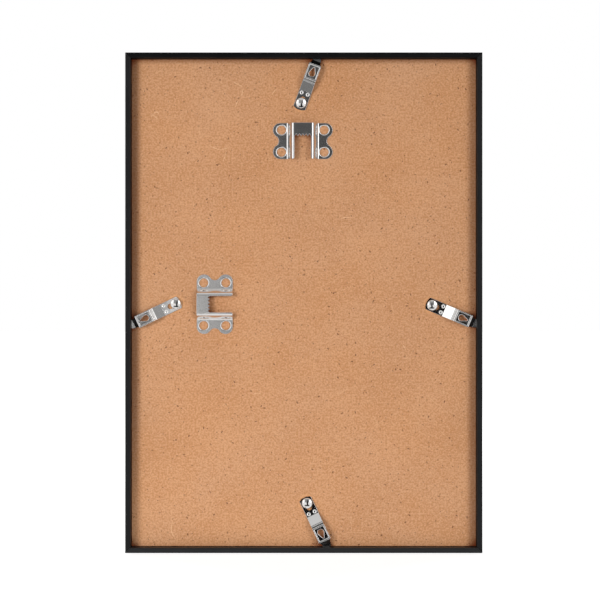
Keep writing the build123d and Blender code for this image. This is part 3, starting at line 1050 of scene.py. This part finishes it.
@dataclass
class BackBoard:
    """The hardboard back and the loose fibres on it.

    Each fibre is given by its two ends and, between them, the point that bows it, as (X, Z) in
    millimetres.
    """

    finish: HardboardFinish = HardboardFinish()
    fibre_finish: FibreFinish = FibreFinish()
    fibres: tuple[tuple[Point, Point, Point], ...] = (
        ((37.1, 284.1), (37.9, 281.5), (38.0, 279.4)),
        ((40.2, 277.0), (41.6, 274.8), (41.8, 272.9)),
        ((17.0, 283.6), (18.6, 282.4), (19.6, 280.2)),
        ((57.7, 249.4), (51.9, 244.9), (45.3, 248.4)),
        ((47.8, 246.1), (48.4, 242.2), (49.6, 239.1)),
        ((93.0, 266.5), (94.3, 270.0), (89.2, 265.2)),
        ((80.4, 18.6), (82.9, 12.7), (78.9, 8.1)),
        ((89.0, 268.9), (91.3, 270.9), (92.4, 268.0)),
        ((43.2, 288.1), (41.0, 287.0), (37.6, 285.4)),
        ((-60.5, 127.2), (-62.0, 125.6), (-62.8, 122.9)),
        ((31.5, 96.4), (28.8, 97.6), (26.2, 96.9)),
        ((-22.7, 204.2), (-25.4, 205.6), (-28.7, 204.9)),
    )
    width: float = 0.13 * MM
    height: float = 0.05 * MM
    rings: int = 25
    sides: int = 8

    def build(self, effects: Effects) -> bpy.types.Object:
        """Build the loose fibres as one mesh.

        A fibre's middle line is the parabola c(t) = (1-t)^2 A + 2t(1-t) B + t^2 C on the board,
        and its section is an ellipse that shrinks to a point at both ends by 1 - (2t-1)^4.

        Args:
            effects: The shared effects.

        Returns:
            The mesh object.
        """
        start, bow, end = np.moveaxis(np.array(self.fibres) * MM, 1, 0)
        t = np.linspace(0.0, 1.0, self.rings + 2)[None, :, None]
        line = (1 - t) ** 2 * start[:, None] + 2 * t * (1 - t) * bow[:, None] + t**2 * end[:, None]
        slope = 2 * (1 - t) * (bow - start)[:, None] + 2 * t * (end - bow)[:, None]
        slope /= np.linalg.norm(slope, axis=-1, keepdims=True)
        across = np.stack([-slope[..., 1], slope[..., 0]], axis=-1)
        around = np.linspace(0.0, math.tau, self.sides, endpoint=False)
        girth = (1 - (2 * t - 1) ** 4)[:, 1:-1]
        out = (self.width * girth * np.cos(around))[..., None]
        flat = line[:, 1:-1, None] + across[:, 1:-1, None] * out
        lift = self.height * girth * np.sin(around) + 0 * flat[..., 0]
        tube = np.stack([flat[..., 0], lift, flat[..., 1]], axis=-1).reshape(len(start), -1, 3)
        tips = line[:, [0, -1]]
        tips = np.stack([tips[..., 0], 0 * tips[..., 0], tips[..., 1]], axis=-1)
        corners = np.concatenate([tube, tips], axis=1)
        shift = (np.arange(len(start)) * corners.shape[1])[:, None, None]
        faces = (self._faces() + shift).reshape(-1, 4).tolist()
        faces += (self._caps() + shift).reshape(-1, 3).tolist()
        finish = self.fibre_finish.material(effects)
        piece = new_piece("board_fibres", corners.reshape(-1, 3), faces, finish)
        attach(piece, "frame")
        LOG.info("built %s with %d fibres", piece.name, len(start))
        return piece

    def _faces(self) -> np.ndarray:
        """Number the four-sided faces of one fibre, ring by ring.

        Returns:
            One row of four vertex numbers for each face.
        """
        ring, side = np.meshgrid(np.arange(self.rings - 1), np.arange(self.sides), indexing="ij")
        after = (side + 1) % self.sides
        square = [ring * self.sides + side, ring * self.sides + after]
        square += [(ring + 1) * self.sides + after, (ring + 1) * self.sides + side]
        return np.stack(square, axis=-1).reshape(-1, 4)

    def _caps(self) -> np.ndarray:
        """Number the three-sided faces that close one fibre at its tips.

        Returns:
            One row of three vertex numbers for each face.
        """
        side = np.arange(self.sides)
        after = (side + 1) % self.sides
        last = (self.rings - 1) * self.sides
        tip = self.rings * self.sides
        first_cap = np.stack([after, side, 0 * side + tip], axis=-1)
        last_cap = np.stack([last + side, last + after, 0 * side + tip + 1], axis=-1)
        return np.concatenate([first_cap, last_cap])

    def dress(self, nodes: dict[str, bpy.types.Object], effects: Effects) -> None:
        """Give the board its finish.

        Args:
            nodes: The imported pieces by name.
            effects: The shared effects.
        """
        boxes = [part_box(name) for name in sorted(nodes) if name.startswith("clip_rivet")]
        rivets = [(Vector(low) + Vector(high)) / 2 for low, high in boxes]
        dress(nodes["backing_board"], self.finish.material(effects, rivets))


@dataclass
class TurnClips:
    """The four spring clips and their dome rivets, with the clips' directions about Y."""

    angles: dict[str, float] = field(
        default_factory=lambda: {
            "top": math.radians(110.5),
            "left": math.radians(-25.7),
            "right": math.radians(23.3),
            "bottom": math.radians(64.4),
        }
    )
    dome: NickelFinish = NickelFinish("nickel_rivet", polish=0.05, streaked=0.03)

    def dress(self, nodes: dict[str, bpy.types.Object], effects: Effects) -> None:
        """Give each clip streaks along its own length, and the rivets a polish.

        Args:
            nodes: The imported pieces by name.
            effects: The shared effects.
        """
        dome = self.dome.material(effects)
        for side, angle in self.angles.items():
            finish = NickelFinish(f"nickel_clip_{side}", angle)
            dress(nodes[f"turn_clip_{side}"], finish.material(effects))
            dress(nodes[f"clip_rivet_{side}"], dome)


@dataclass
class Hangers:
    """The two sawtooth hangers, with the directions of their streaks about Y."""

    angles: dict[str, float] = field(
        default_factory=lambda: {"portrait": 0.0, "landscape": math.pi / 2}
    )
    polish: float = 0.08
    streaked: float = 0.06

    def dress(self, nodes: dict[str, bpy.types.Object], effects: Effects) -> None:
        """Give each hanger streaks across its bridge.

        Args:
            nodes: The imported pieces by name.
            effects: The shared effects.
        """
        for name, angle in self.angles.items():
            finish = NickelFinish(f"nickel_hanger_{name}", angle, self.polish, self.streaked)
            dress(nodes[f"{name}_hanger"], finish.material(effects))


@dataclass(frozen=True)
class Floor:
    """A white floor that keeps a soft shadow.

    It is white all over further off, and by the frame it throws light up.
    """

    half: float = 8.0
    level: float = -0.2 * MM
    grey: Colour = (0.32, 0.32, 0.32, 1.0)
    far_span: Span = (0.3, 0.9)
    far_white: Span = (0.86, 1.0)
    glow_place: Place = (0.2, 0.12, 0.0)
    glow_span: Span = (0.1, 0.75)
    glow: Span = (0.82, 0.2)

    def build(self) -> None:
        """Lay the floor."""
        material, g, at = bare_material("studio_floor")
        white = g.ramp(g.distance(at, ORIGIN), *self.far_span, *self.far_white)
        white = g.add("ShaderNodeEmission", {"Strength": white}).outputs[0]
        shaded = g.add("ShaderNodeBsdfDiffuse", {"Color": self.grey}).outputs[0]
        seen = g.add("ShaderNodeAddShader", {0: white, 1: shaded}).outputs[0]
        glow = g.ramp(g.distance(at, self.glow_place), *self.glow_span, *self.glow)
        glow = g.add("ShaderNodeEmission", {"Strength": glow}).outputs[0]
        direct = g.add("ShaderNodeLightPath").outputs["Is Camera Ray"]
        mixed = g.add("ShaderNodeMixShader", {0: direct, 1: glow, 2: seen})
        g.add("ShaderNodeOutputMaterial", {"Surface": mixed.outputs[0]})
        outline = np.array([[-1, -1, 0], [1, -1, 0], [1, 1, 0], [-1, 1, 0]], float)
        corners = outline * self.half + [0.0, 0.0, self.level]
        floor = new_piece("floor", corners, [[0, 1, 2, 3]], material)
        floor.visible_glossy = False


@dataclass(frozen=True)
class Card:
    """A dark card by the camera that only polished metal shows.

    It is paler at its top, and beside it is a patch of grey strips. Each strip is given by the
    span over which it starts and the step in brightness there.
    """

    place: float = 1.12
    low: Point = (-0.29, -0.6)
    high: Point = (0.23, 1.15)
    across: Window = Window((-0.27, -0.21), (0.045, 0.09))
    top: Span = (0.75, 1.1)
    patch_across: Window = Window((0.03, 0.05), (0.2, 0.22))
    patch_up: Window = Window((0.06, 0.085), (0.22, 0.245))
    strips: tuple[tuple[Span, float], ...] = (
        ((0.04, 0.08), 0.42),
        ((0.134, 0.15), 0.58),
        ((0.158, 0.172), -0.95),
    )
    lower_span: Span = (0.16, 0.36)
    lower: Span = (0.006, 0.085)
    upper_span: Span = (0.4, 1.0)
    upper: float = 0.4

    def build(self) -> None:
        """Stand the card."""
        material, g, at = bare_material("studio_card")
        part = g.split(at)
        side, up = part["X"], part["Z"]
        inside = g.times(self.across.mask(g, side), g.ramp(up, *self.top, 1.0, 0.0))
        patch = g.times(self.patch_across.mask(g, side), self.patch_up.mask(g, up))
        strips = g.plus(*(g.ramp(side, *span, 0.0, step) for span, step in self.strips))
        lower = g.ramp(up, *self.lower_span, *self.lower)
        level = g.plus(lower, g.ramp(up, *self.upper_span, 0.0, self.upper))
        level = g.plus(level, g.times(patch, strips))
        grey = g.add("ShaderNodeEmission", {"Strength": level}).outputs[0]
        clear = g.add("ShaderNodeBsdfTransparent").outputs[0]
        mixed = g.add("ShaderNodeMixShader", {0: g.most(inside, patch), 1: clear, 2: grey})
        g.add("ShaderNodeOutputMaterial", {"Surface": mixed.outputs[0]})
        (left, bottom), (right, top) = self.low, self.high
        outline = [(left, bottom), (right, bottom), (right, top), (left, top)]
        corners = np.insert(np.array(outline), 1, self.place, axis=1)
        card = new_piece("card", corners, [[0, 1, 2, 3]], material)
        card.visible_camera = card.visible_diffuse = False
        card.visible_shadow = card.visible_transmission = False


@dataclass(frozen=True)
class Tent:
    """A white tent, as the world that lights the frame and shows in its metal and glass.

    Across is the angle from straight behind the frame towards the left, aside is that angle to
    either side, and rise is the angle above level, all in degrees. The tent has a grey wall above
    the camera, a dark bar under it, a gap at the lower left and dark wings beside the frame, and
    the two lamps show brighter. In front of the frame it has soft slanting bands, which the glass
    shows.
    """

    ambient: float = 0.28
    wall_rise: Window = Window((1.0, 6.0), (34.0, 42.0))
    wall_aside: Span = (58.0, 70.0)
    wall: float = 0.65
    roof_rise: Span = (36.0, 44.0)
    roof: float = 0.3
    bar_rise: Window = Window((-36.0, -31.0), (-22.0, -17.0))
    bar_aside: Span = (20.0, 30.0)
    bar: float = 0.9
    gap_rise: Window = Window((-58.0, -52.0), (-42.0, -38.0))
    gap_across: Window = Window((8.0, 18.0), (40.0, 50.0), 0.78)
    wings_aside: Window = Window((68.0, 80.0), (98.0, 110.0), 0.85)
    left_lamp: Window = Window((22.0, 27.0), (58.0, 64.0), 1.2)
    right_lamp: Window = Window((-46.0, -42.0), (-28.0, -23.0), 2.8)
    lamp_rise: Window = Window((0.0, 6.0), (30.0, 36.0))
    band_slant: float = 0.6
    band_rate: float = 16.0
    band_swell: float = 1.4
    band_level: float = 0.4
    band_aside: Span = (112.0, 125.0)

    def build(self) -> None:
        """Make the world: white to the camera, a soft grey light, and the tent in reflections."""
        world = bpy.data.worlds.new("tent")
        bpy.context.scene.world = world
        world.use_nodes = True
        world.node_tree.nodes.clear()
        g = Graph(world.node_tree)
        white, tent, soft = (
            g.add("ShaderNodeBackground", {"Color": WHITE, "Strength": strength}).outputs[0]
            for strength in (1.0, self._level(g), self.ambient)
        )
        path = g.add("ShaderNodeLightPath").outputs
        mirrored = g.add("ShaderNodeMixShader", {0: path["Is Glossy Ray"], 1: soft, 2: tent})
        direct = g.most(path["Is Camera Ray"], path["Is Transmission Ray"])
        mixed = g.add("ShaderNodeMixShader", {0: direct, 1: mirrored.outputs[0], 2: white})
        g.add("ShaderNodeOutputWorld", {"Surface": mixed.outputs[0]})

    def _level(self, g: Graph) -> Feed:
        """Work out how bright the tent is in a direction.

        Args:
            g: The world's graph.

        Returns:
            The brightness.
        """
        part = g.split(g.add("ShaderNodeTexCoord").outputs["Generated"])
        across = g.maths("DEGREES", g.maths("ARCTAN2", part["X"], part["Y"]))
        rise = g.maths("DEGREES", g.maths("ARCSINE", part["Z"]))
        aside = g.maths("ABSOLUTE", across)
        wall = g.ramp(aside, *self.wall_aside, self.wall, 0.0)
        wall = g.times(self.wall_rise.mask(g, rise), wall)
        roof = g.ramp(rise, *self.roof_rise, 0.0, self.roof)
        bar = g.ramp(aside, *self.bar_aside, self.bar, 0.0)
        bar = g.times(self.bar_rise.mask(g, rise), bar)
        gap = g.times(self.gap_rise.mask(g, rise), self.gap_across.mask(g, across))
        level = g.less(1.0, g.most(wall, roof, bar, gap, self.wings_aside.mask(g, aside)))
        left, right = self.left_lamp.mask(g, across), self.right_lamp.mask(g, across)
        lamps = g.times(g.plus(left, right), self.lamp_rise.mask(g, rise))
        slant = g.times(g.plus(across, g.times(rise, self.band_slant)), self.band_rate)
        swell = g.times(g.maths("SINE", g.maths("RADIANS", slant)), self.band_swell)
        bands = g.times(g.ramp(aside, *self.band_aside), g.plus(swell, self.band_level))
        return g.plus(level, lamps, bands)


@dataclass
class Studio:
    """A white tent, a floor, a dark card, two soft lamps behind the frame and two in front."""

    middle: Place = (0.0, 0.0, 0.155)
    camera_place: Place = (2.32 * MM, 1.157, 154.43 * MM)
    camera_start: float = 0.05
    sensor_mm: float = 36.0
    pixel: float = 0.61 * MM
    rear: float = 7 * MM
    image: int = 600
    lamp_size: tuple[float, float] = (0.5, 0.46)
    lamps: dict[str, tuple[Place, float]] = field(
        default_factory=lambda: {
            "lamp_back_left": ((0.86, 1.05, 0.26), 9.3),
            "lamp_back_right": ((-0.86, 1.05, 0.26), 5.2),
            "lamp_front_left": ((0.9, -1.1, 0.9), 12.0),
            "lamp_front_right": ((-0.9, -1.1, 0.9), 12.0),
        }
    )
    floor: Floor = Floor()
    card: Card = Card()
    tent: Tent = Tent()

    def build(self) -> None:
        """Set up the view, the camera, the lamps, the floor, the card and the tent."""
        bpy.context.scene.view_settings.view_transform = "Standard"
        self._place_camera()
        self._hang_lamps()
        self.floor.build()
        self.card.build()
        self.tent.build()
        LOG.info("built the studio")

    def _place_camera(self) -> None:
        """Place a level camera square behind the frame, framed as the image is."""
        data = bpy.data.cameras.new("camera")
        data.sensor_width = self.sensor_mm
        reach = self.camera_place[1] - self.rear
        data.lens = self.sensor_mm * reach / (self.image * self.pixel)
        data.clip_start = self.camera_start
        camera = bpy.data.objects.new("camera", data)
        camera.location = self.camera_place
        camera.rotation_euler = (math.pi / 2, 0.0, math.pi)
        bpy.context.scene.collection.objects.link(camera)
        bpy.context.scene.camera = camera

    def _hang_lamps(self) -> None:
        """Hang soft lamps to both sides. The tent stands for them in reflections."""
        for name, (place, power) in self.lamps.items():
            data = bpy.data.lights.new(name, "AREA")
            data.shape = "RECTANGLE"
            data.size, data.size_y = self.lamp_size
            data.energy = power
            lamp = bpy.data.objects.new(name, data)
            lamp.location = place
            aim = Vector(self.middle) - Vector(place)
            lamp.rotation_euler = aim.to_track_quat("-Z", "Y").to_euler()
            lamp.visible_glossy = False
            bpy.context.scene.collection.objects.link(lamp)


def main() -> None:
    """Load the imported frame, dress it, add the loose pieces and set up the studio."""
    logging.basicConfig(level=logging.INFO, format="%(name)s: %(message)s")
    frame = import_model()
    effects = Effects()
    effects.build()
    board = BackBoard()
    for assembly in (Rails(), Glazing(), board, TurnClips(), Hangers()):
        assembly.dress(frame["nodes"], effects)
    board.build(effects)
    Studio().build()


if __name__ == "__main__":
    main()
